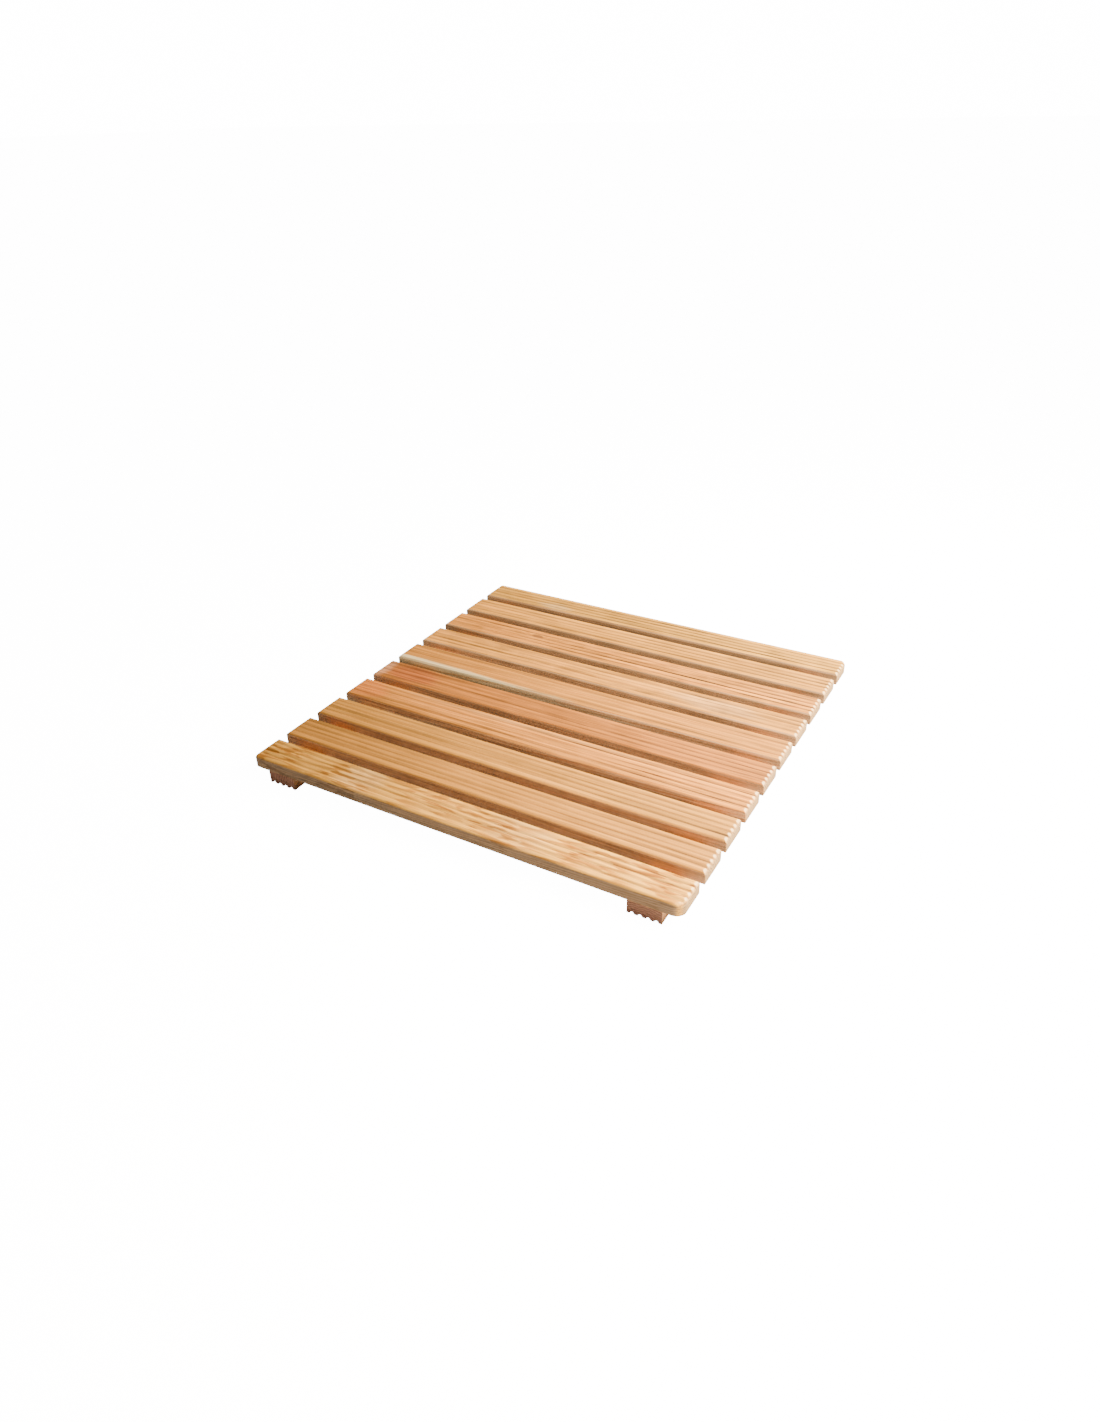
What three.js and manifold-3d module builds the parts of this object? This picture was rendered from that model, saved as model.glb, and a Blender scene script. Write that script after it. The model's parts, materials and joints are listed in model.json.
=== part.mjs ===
// Square wooden bath mat (duckboard): ten ribbed larch slats laid side by side across two
// ribbed battens, each crossing held by two countersunk screws driven up from below.
// Millimetres. X runs along the slats, Y from the front slat to the back one, Z up.
// The origin is on the floor, under the middle of the mat.
import * as THREE from 'three';
import { mergeVertices } from 'three/addons/utils/BufferGeometryUtils.js';
import Module from 'manifold-3d';

const wasm = await Module();
wasm.setup();

// ---- Driving dimensions -------------------------------------------------------------
const MAT_LENGTH = 500; // along the slats
const MAT_DEPTH = 500; // front edge of the first slat to back edge of the last

const SLAT_COUNT = 10;
const SLAT_WIDTH = 39;
const SLAT_THICKNESS = 14.5;
const SLAT_EDGE_ROUND = 4; // round along the top edges and over the ends
const SLAT_BOTTOM_ROUND = 1.2;
const SLAT_CORNER_RADIUS = 2; // plan corners of the slats
// plan corners of the mat, on its first and last slats; they were rounded by hand and differ
const MAT_FRONT_LEFT_RADIUS = 5;
const MAT_FRONT_RIGHT_RADIUS = 11;
const MAT_BACK_RIGHT_RADIUS = 7;
const MAT_BACK_LEFT_RADIUS = 5;

const SLAT_EDGE_RIB = 5.6; // width of the rib along each long edge of a slat
const SLAT_GROOVE_WIDTH = 5;
const SLAT_GROOVE_DEPTH = 1.5;

const BATTEN_WIDTH = 35;
const BATTEN_THICKNESS = 15;
const BATTEN_END_GAP = 1; // how far a batten stops short of the mat's front and back edges
const BATTEN_INSET = 19; // slat end to the batten's outer side
const BATTEN_TOP_ROUND = 0.8;
const BATTEN_EDGE_RIB = 2.5;
const BATTEN_GROOVE_WIDTH = 6;
const BATTEN_GROOVE_DEPTH = 2.6;

const GROOVE_COUNT = 4; // grooves in every slat and batten

const SCREW_DIAMETER = 3.5;
const SCREW_LENGTH = 20;
const SCREW_HEAD_DIAMETER = 7;
const SCREW_HEAD_HEIGHT = 2.2; // height of the countersunk cone
const SCREW_HEAD_RIM = 0.4; // straight rim below the cone
const SCREW_POINT_LENGTH = 4;
const SCREW_HEAD_RECESS = 3; // head face above the floor, clear of the rib tips
const SCREW_SPREAD = 20; // distance along the batten between the two screws of a crossing
const SCREW_CLEARANCE = 0.3; // gap around a screw, and beyond its point

// ---- Worked out from them -----------------------------------------------------------
const slatPitch = (MAT_DEPTH - SLAT_WIDTH) / (SLAT_COUNT - 1);
const battenX = MAT_LENGTH / 2 - BATTEN_INSET - BATTEN_WIDTH / 2;
const battenLength = MAT_DEPTH - 2 * BATTEN_END_GAP;
const battenGroovePitch = groovePitch(BATTEN_WIDTH, BATTEN_EDGE_RIB, BATTEN_GROOVE_WIDTH);

const CURVE_STEPS = 4; // facets in each groove and each round of a section
const ROUND_STEPS = 3; // facets in each plan corner and in the round over the top edges
const SCREW_SIDES = 8;
const CUT_MARGIN = 5; // how far a cutting body runs past what it trims

// ---- Solids -------------------------------------------------------------------------
function toManifold(geometry) {
  const bare = geometry.index ? geometry.toNonIndexed() : geometry.clone();
  bare.deleteAttribute('normal');
  bare.deleteAttribute('uv');
  const merged = mergeVertices(bare, 1e-4);
  return new wasm.Manifold(new wasm.Mesh({
    numProp: 3,
    vertProperties: new Float32Array(merged.attributes.position.array),
    triVerts: new Uint32Array(merged.index.array),
  }));
}

function toGeometry(solid) {
  const mesh = solid.getMesh();
  const geometry = new THREE.BufferGeometry();
  geometry.setAttribute('position', new THREE.BufferAttribute(mesh.vertProperties, 3));
  geometry.setIndex(new THREE.BufferAttribute(mesh.triVerts, 1));
  geometry.computeVertexNormals();
  return geometry;
}

function namedMesh(name, solid, material) {
  const mesh = new THREE.Mesh(toGeometry(solid), material);
  mesh.name = name;
  return mesh;
}

function wood(colour) {
  return new THREE.MeshStandardMaterial({ color: colour, roughness: 0.6, metalness: 0 });
}

// ---- Ribbed strips ------------------------------------------------------------------
// The grooves are evenly spaced between the two edge ribs.
function groovePitch(width, edgeRib, grooveWidth) {
  return (width - 2 * edgeRib - grooveWidth) / (GROOVE_COUNT - 1);
}

// Section of a strip that lies on z = 0 with its ribs up. The plain side's edges are round
// when plainRound is given.
function ribbedSection({ width, thickness, edgeRib, grooveWidth, grooveDepth, plainRound }) {
  const half = width / 2;
  const pitch = groovePitch(width, edgeRib, grooveWidth);
  const section = new THREE.Shape();
  section.moveTo(-half + plainRound, 0);
  section.lineTo(half - plainRound, 0);
  section.absarc(half - plainRound, plainRound, plainRound, -Math.PI / 2, 0);
  section.lineTo(half, thickness);
  for (let groove = GROOVE_COUNT - 1; groove >= 0; groove -= 1) {
    const middle = (groove - (GROOVE_COUNT - 1) / 2) * pitch;
    section.lineTo(middle + grooveWidth / 2, thickness);
    section.quadraticCurveTo(middle, thickness - 2 * grooveDepth, middle - grooveWidth / 2, thickness);
  }
  section.lineTo(-half, thickness);
  section.lineTo(-half, plainRound);
  section.absarc(-half + plainRound, plainRound, plainRound, Math.PI, Math.PI * 1.5);
  return section;
}

// A strip of that section, its length along X and centred on the origin.
function ribbedStrip(length, options) {
  const geometry = new THREE.ExtrudeGeometry(ribbedSection(options), {
    depth: length, bevelEnabled: false, curveSegments: CURVE_STEPS,
  });
  const along = new THREE.Matrix4().makeBasis(
    new THREE.Vector3(0, 1, 0), new THREE.Vector3(0, 0, 1), new THREE.Vector3(1, 0, 0),
  );
  geometry.applyMatrix4(along);
  geometry.translate(-length / 2, 0, 0);
  return toManifold(geometry);
}

// ---- Slats --------------------------------------------------------------------------
// Plan outline of a slat, counterclockwise from its front left corner, with the radii in the
// same order. A corner with no radius stays sharp.
function slatOutline(length, width, radii) {
  const corners = [
    { x: -1, y: -1, start: Math.PI },
    { x: 1, y: -1, start: -Math.PI / 2 },
    { x: 1, y: 1, start: 0 },
    { x: -1, y: 1, start: Math.PI / 2 },
  ].map((corner, number) => ({ ...corner, radius: radii[number] }));
  const outline = new THREE.Shape();
  outline.moveTo(-length / 2, -width / 2 + radii[0]);
  for (const { x, y, radius, start } of corners) {
    const centreX = x * (length / 2 - radius);
    const centreY = y * (width / 2 - radius);
    if (radius > 0) outline.absarc(centreX, centreY, radius, start, start + Math.PI / 2);
    else outline.lineTo(centreX, centreY);
  }
  return outline;
}

// Body with a round over its top edge. It starts well below the slat, so that only its upper
// round trims the strip. The round is pushed outwards from an outline that is smaller by the
// size of the round, and meets itself in a mitre at a corner that is sharper than the round.
function toppedBlank(radii) {
  const inset = SLAT_EDGE_ROUND;
  const inner = slatOutline(
    MAT_LENGTH - 2 * inset, SLAT_WIDTH - 2 * inset,
    radii.map((radius) => Math.max(radius - inset, 0)),
  );
  const geometry = new THREE.ExtrudeGeometry(inner, {
    depth: SLAT_THICKNESS + CUT_MARGIN - inset,
    bevelSize: inset,
    bevelThickness: inset,
    bevelSegments: ROUND_STEPS,
    curveSegments: ROUND_STEPS,
  });
  geometry.translate(0, 0, -CUT_MARGIN);
  return toManifold(geometry);
}

// Upright body with the slat's plan corners.
function corneredBlank(radii) {
  const outline = slatOutline(MAT_LENGTH, SLAT_WIDTH, radii);
  const geometry = new THREE.ExtrudeGeometry(outline, {
    depth: SLAT_THICKNESS + 2 * CUT_MARGIN, bevelEnabled: false, curveSegments: ROUND_STEPS,
  });
  geometry.translate(0, 0, -CUT_MARGIN);
  return toManifold(geometry);
}

function slatSolid(index) {
  const isFirst = index === 0;
  const isLast = index === SLAT_COUNT - 1;
  const radii = [
    isFirst ? MAT_FRONT_LEFT_RADIUS : SLAT_CORNER_RADIUS,
    isFirst ? MAT_FRONT_RIGHT_RADIUS : SLAT_CORNER_RADIUS,
    isLast ? MAT_BACK_RIGHT_RADIUS : SLAT_CORNER_RADIUS,
    isLast ? MAT_BACK_LEFT_RADIUS : SLAT_CORNER_RADIUS,
  ];
  const strip = ribbedStrip(MAT_LENGTH, {
    width: SLAT_WIDTH,
    thickness: SLAT_THICKNESS,
    edgeRib: SLAT_EDGE_RIB,
    grooveWidth: SLAT_GROOVE_WIDTH,
    grooveDepth: SLAT_GROOVE_DEPTH,
    plainRound: SLAT_BOTTOM_ROUND,
  });
  return strip
    .intersect(toppedBlank(radii))
    .intersect(corneredBlank(radii))
    .translate(0, slatY(index), BATTEN_THICKNESS);
}

function slatY(index) {
  return (index - (SLAT_COUNT - 1) / 2) * slatPitch;
}

// ---- Battens ------------------------------------------------------------------------
// A batten is the same kind of strip turned over, so that its ribs stand on the floor.
function battenSolid(side) {
  return ribbedStrip(battenLength, {
    width: BATTEN_WIDTH,
    thickness: BATTEN_THICKNESS,
    edgeRib: BATTEN_EDGE_RIB,
    grooveWidth: BATTEN_GROOVE_WIDTH,
    grooveDepth: BATTEN_GROOVE_DEPTH,
    plainRound: BATTEN_TOP_ROUND,
  })
    .rotate(180, 0, 90)
    .translate(side * battenX, 0, BATTEN_THICKNESS);
}

// ---- Screws -------------------------------------------------------------------------
// Outline of a screw standing point up on its head, from the middle of the head's face to
// the point. With a gap it becomes the hole that the screw goes into, open at the floor.
function screwProfile(gap) {
  const shank = SCREW_DIAMETER / 2 + gap;
  const head = SCREW_HEAD_DIAMETER / 2 + gap;
  const coneEnd = SCREW_HEAD_RIM + SCREW_HEAD_HEIGHT;
  return [
    new THREE.Vector2(0, gap ? -SCREW_HEAD_RECESS - CUT_MARGIN : 0),
    new THREE.Vector2(head, gap ? -SCREW_HEAD_RECESS - CUT_MARGIN : 0),
    new THREE.Vector2(head, SCREW_HEAD_RIM + gap / 2),
    new THREE.Vector2(shank, coneEnd + gap / 2),
    new THREE.Vector2(shank, SCREW_LENGTH - SCREW_POINT_LENGTH + gap),
    new THREE.Vector2(0, SCREW_LENGTH + gap),
  ];
}

function screwBody(x, y, gap) {
  const geometry = new THREE.LatheGeometry(screwProfile(gap), SCREW_SIDES);
  geometry.rotateX(Math.PI / 2);
  geometry.translate(x, y, SCREW_HEAD_RECESS);
  return toManifold(geometry);
}

// The two screws of a crossing stand on a diagonal, each through a rib next to the middle.
function screwPlaces() {
  const places = [];
  for (let slat = 0; slat < SLAT_COUNT; slat += 1) {
    for (const side of [-1, 1]) {
      for (const end of [-1, 1]) {
        places.push({
          slat,
          side,
          end,
          x: side * (battenX + end * battenGroovePitch),
          y: slatY(slat) + end * SCREW_SPREAD / 2,
        });
      }
    }
  }
  return places;
}

function drilled(solid, places) {
  return places.reduce(
    (left, place) => left.subtract(screwBody(place.x, place.y, SCREW_CLEARANCE)), solid,
  );
}

// ---- Assembly -----------------------------------------------------------------------
const SLAT_COLOURS = [
  0xcfa574, 0xc99b60, 0xcda273, 0xc98f5f, 0xc98560, 0xcf9a66, 0xcfa570, 0xd69f74, 0xd3a77c, 0xd4ab80,
];
const BATTEN_COLOUR = 0xb98a5a;
const SCREW_STEEL = new THREE.MeshStandardMaterial({ color: 0xb9bbbd, roughness: 0.35, metalness: 1 });

const sideNames = new Map([[-1, 'left'], [1, 'right']]);
const endNames = new Map([[-1, 'a'], [1, 'b']]);
const twoDigits = (number) => String(number).padStart(2, '0');

const group = new THREE.Group();
const places = screwPlaces();

for (let slat = 0; slat < SLAT_COUNT; slat += 1) {
  const solid = drilled(slatSolid(slat), places.filter((place) => place.slat === slat));
  group.add(namedMesh(`slat_${twoDigits(slat + 1)}`, solid, wood(SLAT_COLOURS[slat])));
}
for (const side of sideNames.keys()) {
  const solid = drilled(battenSolid(side), places.filter((place) => place.side === side));
  group.add(namedMesh(`batten_${sideNames.get(side)}`, solid, wood(BATTEN_COLOUR)));
}
for (const place of places) {
  const crossing = `${sideNames.get(place.side)}_${twoDigits(place.slat + 1)}`;
  const name = `screw_${crossing}${endNames.get(place.end)}`;
  group.add(namedMesh(name, screwBody(place.x, place.y, 0), SCREW_STEEL));
}

export default group;
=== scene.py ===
# %% [markdown]
# # A slatted wooden bath mat
#
# The mat is a square duckboard. Ten ribbed larch slats lie side by side on two ribbed battens,
# and screws driven up from below hold every crossing. Water runs off the ribs, through the gaps
# between the slats and out along the grooves under the battens.
#
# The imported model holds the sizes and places. This script builds the fine surface around it:
# rounded, ribbed and drilled wood, threaded screws, and a wood finish for every board. The frame
# is loaded first, and its box is kept, because the fine pieces have to stay inside it.

# %% Load the frame
import json
import math
import random

import bmesh
import bpy
from mathutils import Matrix, Vector, noise


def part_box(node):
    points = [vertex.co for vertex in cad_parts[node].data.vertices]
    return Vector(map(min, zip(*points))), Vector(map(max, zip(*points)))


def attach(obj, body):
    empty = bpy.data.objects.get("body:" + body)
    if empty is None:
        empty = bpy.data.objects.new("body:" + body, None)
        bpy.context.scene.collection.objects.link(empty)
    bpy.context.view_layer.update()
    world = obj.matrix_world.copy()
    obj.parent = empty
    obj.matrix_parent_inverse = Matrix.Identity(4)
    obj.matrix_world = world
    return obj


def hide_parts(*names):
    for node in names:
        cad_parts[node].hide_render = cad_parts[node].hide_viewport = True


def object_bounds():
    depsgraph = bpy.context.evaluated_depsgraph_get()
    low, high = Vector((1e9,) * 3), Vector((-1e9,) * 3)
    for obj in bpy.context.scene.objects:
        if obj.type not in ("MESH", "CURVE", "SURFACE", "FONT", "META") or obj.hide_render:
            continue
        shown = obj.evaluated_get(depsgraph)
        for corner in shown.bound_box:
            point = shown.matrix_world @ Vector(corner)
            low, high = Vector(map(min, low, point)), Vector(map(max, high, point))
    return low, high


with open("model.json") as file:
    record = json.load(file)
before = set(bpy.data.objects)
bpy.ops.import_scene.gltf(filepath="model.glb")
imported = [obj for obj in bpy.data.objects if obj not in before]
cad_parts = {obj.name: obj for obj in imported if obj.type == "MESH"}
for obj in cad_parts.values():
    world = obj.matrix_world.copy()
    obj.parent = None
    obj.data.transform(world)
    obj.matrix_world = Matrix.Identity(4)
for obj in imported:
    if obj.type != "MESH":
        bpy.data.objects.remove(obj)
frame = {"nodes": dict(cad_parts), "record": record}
cad_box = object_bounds()
record = frame["record"]
slot_of_node = {part["node"]: part["material_slot"] for part in record["subparts"]}
print("frame box", cad_box, "nodes", len(frame["nodes"]))

# %% [markdown]
# ## Sizes
#
# Everything is in metres, in the frame's own axes: X along the slats, Y from the front slat to
# the back one, Z up from the floor. Lengths below are written in millimetres times MM, which
# keeps them readable. Widths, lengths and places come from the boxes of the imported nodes.
# Only what those boxes can't say is given here: the ribs, the rounds and the saw cuts.

# %% Sizes and names
MM = 0.001
SLATS = [f"slat_{number:02d}" for number in range(1, 11)]
BATTENS = ["batten_left", "batten_right"]
SCREWS = sorted(name for name in frame["nodes"] if name.startswith("screw_"))

GROOVE_COUNT = 4
SLAT_FORM = dict(edge_rib=5.2 * MM, groove_width=6.3 * MM, groove_depth=1.25 * MM,
                 edge_round=3.4 * MM, end_round=5.0 * MM, foot_round=1.2 * MM)
BATTEN_FORM = dict(edge_rib=2.2 * MM, groove_width=6.6 * MM, groove_depth=2.7 * MM,
                   edge_round=0.5 * MM, end_round=0.35 * MM, foot_round=0.8 * MM)
SLAT_CORNER = 1.0 * MM
# front left, front right, back right, back left
MAT_CORNERS = (6.0 * MM, 11.0 * MM, 7.0 * MM, 5.0 * MM)
BATTEN_CORNER = 0.4 * MM

floor_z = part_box(BATTENS[0])[0][2]
print("slats", len(SLATS), "battens", len(BATTENS), "screws", len(SCREWS))

# %% [markdown]
# ## Camera
#
# The camera looks down on the front right corner, a little more than a metre away, with a
# slightly wide lens and the barest tilt to one side. Its axes are built from three angles. The
# matrix columns are right, up and back, which is how Blender stores a camera's turn.

# %% Camera
VIEW_AZIMUTH = math.radians(30.64)
VIEW_ELEVATION = math.radians(31.32)
VIEW_ROLL = math.radians(-1.45)
VIEW_DISTANCE = 1144.0 * MM
VIEW_TARGET = Vector((-12.5 * MM, -22.1 * MM, cad_box[1][2]))
LENS = 25.45


def camera_axes(azimuth, elevation, roll):
    back = Vector((math.sin(azimuth) * math.cos(elevation),
                   -math.cos(azimuth) * math.cos(elevation), math.sin(elevation)))
    right = Vector((math.cos(azimuth), math.sin(azimuth), 0.0))
    up = back.cross(right)
    turned_right = right * math.cos(roll) + up * math.sin(roll)
    turned_up = up * math.cos(roll) - right * math.sin(roll)
    return turned_right, turned_up, back


def add_camera():
    right, up, back = camera_axes(VIEW_AZIMUTH, VIEW_ELEVATION, VIEW_ROLL)
    camera = bpy.data.objects.new("camera", bpy.data.cameras.new("camera"))
    bpy.context.scene.collection.objects.link(camera)
    camera.data.lens = LENS
    camera.data.clip_start = 0.01
    turn = Matrix((right, up, back)).transposed().to_4x4()
    camera.matrix_world = Matrix.Translation(VIEW_TARGET + back * VIEW_DISTANCE) @ turn
    bpy.context.scene.camera = camera
    return camera


camera = add_camera()
print("camera at", tuple(round(value, 3) for value in camera.location))

# %% [markdown]
# ## Floor and light
#
# A plain pale floor and soft studio light keep the eye on the wood. The main light is a wide
# panel high on the right and slightly behind, so that tops and right ends are bright and the
# front faces fall into soft shade. The surroundings are an even, dim white that fills the shade.
#
# Floor and surroundings are near white to the camera, like a product table lit from within,
# but send out only their ordinary share of light to the wood. One small switch on the kind of
# ray does that, so a bright background doesn't wash out the shaded undersides.

# %% Floor and light
FLOOR_SIZE = 60.0
FLOOR_GREY = 0.45
WHITE_TABLE = 15.0
WHITE_ROOM = 15.9
KEY_PLACE = Vector((0.70, 0.15, 0.72))
KEY_SIZE = (0.95, 0.45)
KEY_POWER = 78.0
KEY_COLOUR = (1.0, 0.885, 0.68)
SKY_STRENGTH = 0.12


def seen_directly(tree, seen, unseen):
    """A value that is one number to the camera and another to the light in the scene."""
    path = tree.nodes.new("ShaderNodeLightPath")
    choose = tree.nodes.new("ShaderNodeMapRange")
    tree.links.new(path.outputs["Is Camera Ray"], choose.inputs["Value"])
    choose.inputs["To Min"].default_value = unseen
    choose.inputs["To Max"].default_value = seen
    return choose.outputs["Result"]


def add_floor():
    mesh = bpy.data.meshes.new("floor")
    bm = bmesh.new()
    bmesh.ops.create_grid(bm, x_segments=1, y_segments=1, size=FLOOR_SIZE / 2)
    bmesh.ops.translate(bm, vec=(0, 0, floor_z), verts=bm.verts)
    bm.to_mesh(mesh)
    bm.free()
    floor = bpy.data.objects.new("floor", mesh)
    bpy.context.scene.collection.objects.link(floor)
    material = bpy.data.materials.new("pale_floor")
    material.use_nodes = True
    tree = material.node_tree
    shader = tree.nodes["Principled BSDF"]
    shader.inputs["Base Color"].default_value = (FLOOR_GREY, FLOOR_GREY, FLOOR_GREY, 1)
    shader.inputs["Roughness"].default_value = 1.0
    shader.inputs["Specular IOR Level"].default_value = 0.0
    shader.inputs["Emission Color"].default_value = (1, 1, 1, 1)
    tree.links.new(seen_directly(tree, WHITE_TABLE, 0.0), shader.inputs["Emission Strength"])
    mesh.materials.append(material)


def add_key_light():
    data = bpy.data.lights.new("key_panel", "AREA")
    data.shape = "RECTANGLE"
    data.size, data.size_y = KEY_SIZE
    data.energy = KEY_POWER
    data.color = KEY_COLOUR
    light = bpy.data.objects.new("key_panel", data)
    bpy.context.scene.collection.objects.link(light)
    light.location = KEY_PLACE
    light.visible_camera = False
    light.rotation_euler = KEY_PLACE.to_track_quat("Z", "Y").to_euler()


def add_sky():
    world = bpy.data.worlds.new("studio")
    world.use_nodes = True
    tree = world.node_tree
    sky = tree.nodes["Background"]
    sky.inputs["Color"].default_value = (1.0, 1.0, 1.0, 1)
    tree.links.new(seen_directly(tree, WHITE_ROOM, SKY_STRENGTH), sky.inputs["Strength"])
    bpy.context.scene.world = world


add_floor()
add_key_light()
add_sky()
print("floor at", floor_z, "key light at", tuple(KEY_PLACE))

# %% [markdown]
# ## Ribbed strips
#
# Slats and battens are the same kind of moulding: a flat strip with four grooves run along one
# face, sawn to length and then rounded over. A boolean of a rounded block and four cutters
# would give the same shape, but leaves long thin faces that shade badly.
#
# Instead a flat grid is wrapped round the strip. One direction of the grid becomes stations
# along the length, close together near the ends, and the other becomes points round the
# section. The height of each top point is the lower of two surfaces: the ribbed face, and the
# rounded block. That is just what a moulder and a sander leave, scalloped rib ends included.

# %% Curves that shape a strip
def round_drop(inside, radius):
    """How far a rounded edge has dropped at a distance inside the edge."""
    if inside >= radius:
        return 0.0
    reach = radius - max(inside, 0.0)
    return radius - math.sqrt(max(radius * radius - reach * reach, 0.0))


def round_steps(radius, count):
    """Distances from an edge that space points evenly round its curve."""
    return [radius * (1 - math.cos(math.pi / 2 * step / count)) for step in range(count + 1)]


def groove_middles(width, form):
    pitch = (width - 2 * form["edge_rib"] - form["groove_width"]) / (GROOVE_COUNT - 1)
    first = -(GROOVE_COUNT - 1) / 2
    return [(first + groove) * pitch for groove in range(GROOVE_COUNT)]


def groove_depth_at(y, wander, middles, form):
    """Depth of the grooved face, as a smooth wave that is flat on top of each rib."""
    nearest = min(abs(y - middle - wander) for middle in middles)
    share = nearest / (form["groove_width"] / 2)
    if share >= 1:
        return 0.0
    return form["groove_depth"] * 0.5 * (1 + math.cos(math.pi * share))


print("drop 1 mm inside a 5 mm round:", round(round_drop(1 * MM, 5 * MM) / MM, 2), "mm")

# %% Stations along a strip and points round it
def stations(length, radii, spacing):
    """Places along the length: even in the middle, dense where an end curves away."""
    near_end = sorted({round(step, 7) for radius in radii for step in round_steps(radius, 10)})
    reach = near_end[-1]
    spans = max(1, round((length - 2 * reach) / spacing))
    middle = [-length / 2 + reach + (length - 2 * reach) * k / spans for k in range(1, spans)]
    left = [-length / 2 + step for step in near_end]
    return left + middle + [-x for x in reversed(left)]


def top_points(width, form):
    """Distances from the middle for points across the grooved face, dense over each groove."""
    edge = width / 2
    points = [edge - step for step in round_steps(form["edge_round"], 8)]
    points += [-point for point in points]
    for middle in groove_middles(width, form):
        half = form["groove_width"] / 2
        points += [middle + half * (2 * step / 12 - 1) for step in range(13)]
    points = sorted(points)
    kept = [points[0]]
    for point in points[1:]:
        if point - kept[-1] > 0.02 * MM:
            kept.append(point)
    return kept


def section_points(width, thickness, form):
    """Points round the section, from the middle of the plain face, as (y, z or None)."""
    foot = form["foot_round"]
    wall_top = thickness - form["edge_round"]
    foot_steps = round_steps(foot, 5)
    wall = [foot + (wall_top - foot) * step / 4 for step in range(1, 4)]
    right = [(0.0, 0.0), (width / 4, 0.0)]
    right += [(width / 2 - foot + foot * math.sin(math.pi / 2 * k / 5), foot_steps[k]) for k in range(6)]
    right += [(width / 2, z) for z in wall]
    left = [(-y, z) for y, z in reversed(right)]
    top = [(y, None) for y in reversed(top_points(width, form))]
    return right + top + left


print("stations", len(stations(0.5, (5 * MM, 11 * MM), 8 * MM)),
      "section points", len(section_points(0.039, 0.0145, SLAT_FORM)))

# %% Wrap a grid round the strip
def corner_drop(from_end, from_edge, corner, form):
    """Drop of the round that follows a plan corner."""
    if from_end >= corner or from_edge >= corner:
        return 0.0
    along, across = corner - from_end, corner - from_edge
    share = (along / max(math.hypot(along, across), 1e-9)) ** 2
    radius = form["edge_round"] * (1 - share) + form["end_round"] * share
    return round_drop(corner - math.hypot(along, across), radius)


def edge_inset(from_end, corner):
    return round_drop(from_end, corner)


def make_strip(name, length, width, thickness, form, corners, seed, spacing=8 * MM):
    """A ribbed strip, ribs up, on z = 0. corners holds plan radii: front left, front right,
    back right, back left."""
    xs = stations(length, (form["end_round"], form["foot_round"], *corners), spacing)
    ring = section_points(width, thickness, form)
    middles = groove_middles(width, form)
    bm = bmesh.new()
    bmesh.ops.create_grid(bm, x_segments=len(xs) - 1, y_segments=len(ring), size=1)
    dip = bm.verts.layers.float.new("dip")
    rim = bm.verts.layers.float.new("rim")
    half_width, inner = width / 2, width / 2 - form["edge_rib"]
    for vert in bm.verts:
        x = xs[round((vert.co.x + 1) / 2 * (len(xs) - 1))]
        y, z = ring[round((vert.co.y + 1) / 2 * len(ring)) % len(ring)]
        from_end = length / 2 - abs(x)
        side = 1 if y > 0 else -1
        front_corner, back_corner = corners[1:3] if x > 0 else (corners[0], corners[3])
        front, back = (-half_width + edge_inset(from_end, front_corner),
                       half_width - edge_inset(from_end, back_corner))
        if abs(y) >= inner:
            y = (back if side > 0 else front) + y - side * half_width
        else:
            share = (y + inner) / (2 * inner)
            low, high = front + form["edge_rib"], back - form["edge_rib"]
            y = low + (high - low) * share
        corner = back_corner if y > 0 else front_corner
        from_edge = half_width - abs(y)
        drop = max(round_drop(from_end, form["end_round"]), round_drop(from_edge, form["edge_round"]),
                   corner_drop(from_end, from_edge, corner, form))
        if z is None:
            wander = 0.12 * MM * noise.noise(Vector((x * 9, seed * 7.1, 0)))
            chatter = 1 + 0.06 * noise.noise(Vector((x * 40, y * 300, seed * 3.3)))
            depth = groove_depth_at(y, wander, middles, form) * chatter
            z = thickness - depth
            vert[dip] = depth / form["groove_depth"]
        vert[rim] = min(1.0, drop / (0.6 * form["edge_round"]))
        z = min(z, thickness - drop)
        z = max(z, round_drop(from_end, form["foot_round"]))
        vert.co = Vector((x, y, z))
    close_strip(bm)
    mesh = bpy.data.meshes.new(name)
    bm.to_mesh(mesh)
    bm.free()
    return mesh


def close_strip(bm):
    """Joins the wrapped grid's seam, caps both ends and points the faces outwards."""
    bmesh.ops.remove_doubles(bm, verts=bm.verts, dist=0.001 * MM)
    open_edges = [edge for edge in bm.edges if edge.is_boundary]
    bmesh.ops.holes_fill(bm, edges=open_edges, sides=0)
    bmesh.ops.recalc_face_normals(bm, faces=bm.faces)
    for face in bm.faces:
        face.smooth = True


test_strip = make_strip("test", 0.5, 0.039, 0.0145, SLAT_FORM, (SLAT_CORNER,) * 4, 1)
print("one slat has", len(test_strip.vertices), "points and", len(test_strip.polygons), "faces")
bpy.data.meshes.remove(test_strip)

# %% [markdown]
# ## Screw holes
#
# Each crossing of a slat and a batten has two countersunk screws, set cornerwise, driven up
# from underneath. The batten is drilled right through with a countersunk pocket, and the slat
# has a blind pilot hole that stops under its ribbed face. The holes are cut with one exact
# boolean for each strip. That is the right tool here: a drill removes a clean solid of
# revolution, and the slats' ribbed faces aren't touched.

# %% Drilling
SCREW_SHANK = 3.5 * MM / 2
HOLE_SPARE = 0.15 * MM
PILOT_SPARE = 0.6 * MM
HOLE_SIDES = 24
WOOD_CREASE = math.radians(38)


def screw_axis(node):
    low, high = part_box(node)
    return (low + high) / 2


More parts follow.
